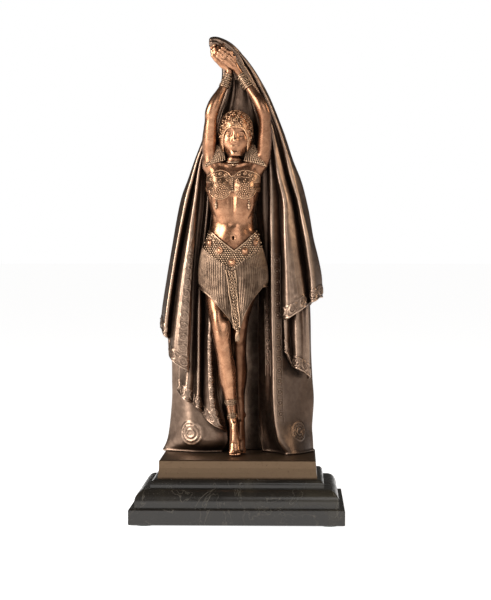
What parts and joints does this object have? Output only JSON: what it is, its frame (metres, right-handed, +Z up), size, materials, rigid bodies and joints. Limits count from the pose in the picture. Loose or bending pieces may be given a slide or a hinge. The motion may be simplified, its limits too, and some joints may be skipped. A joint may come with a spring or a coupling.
{
  "type": "bronze statuette",
  "caption": "Cast bronze figure of a dancer holding a pleated cape above her head, on a hollow bronze terrace and stepped marble plinth.",
  "frame": {"origin": "centre of the base, on the plane of the felt pad undersides", "axes": "+Z up, +X to the right of someone facing the figure, +Y from the figure's front towards its back"},
  "size_m": [0.24, 0.19, 0.5483],
  "materials": {
    "marble": "polished dark stone with fine pale scratches and worn edges",
    "terrace_bronze": "brown patinated bronze, rubbed warmer at the lower edge",
    "body_bronze": "warm copper-brown polished bronze with dark patina in the hollows",
    "dress_bronze": "brown patinated bronze, chased and rubbed bright on the high points",
    "cape_bronze": "dark brown patinated bronze with rubbed fold crests",
    "steel": "plain turned steel",
    "felt": "dense dark green wool felt"
  },
  "bodies": {
    "root": {"felt_pads": "felt", "plinth_slab": "marble", "plinth_moulding": "marble", "plinth_tier": "marble", "terrace": "terrace_bronze", "tie_rods": "steel", "tie_washers": "steel", "tie_nuts": "steel", "figure_screws": "steel", "torso": "body_bronze", "head": "body_bronze", "right_arm": "body_bronze", "left_arm": "body_bronze", "right_hand": "body_bronze", "left_hand": "body_bronze", "right_leg": "body_bronze", "left_leg": "body_bronze", "neck_dowel": "steel", "shoulder_dowels": "steel", "hip_dowels": "steel", "close_cap": "dress_bronze", "neck_ring": "dress_bronze", "shoulder_wings": "dress_bronze", "bodice": "dress_bronze", "bodice_beads": "dress_bronze", "right_cuff": "dress_bronze", "left_cuff": "dress_bronze", "belt": "dress_bronze", "belt_stones": "dress_bronze", "bead_strap": "dress_bronze", "skirt": "dress_bronze", "anklet": "dress_bronze", "cape_back": "cape_bronze", "cape_right_front": "cape_bronze", "cape_left_front": "cape_bronze", "cape_right_mantle": "cape_bronze", "cape_left_mantle": "cape_bronze", "cape_gather": "cape_bronze"}
  },
  "joints": []
}
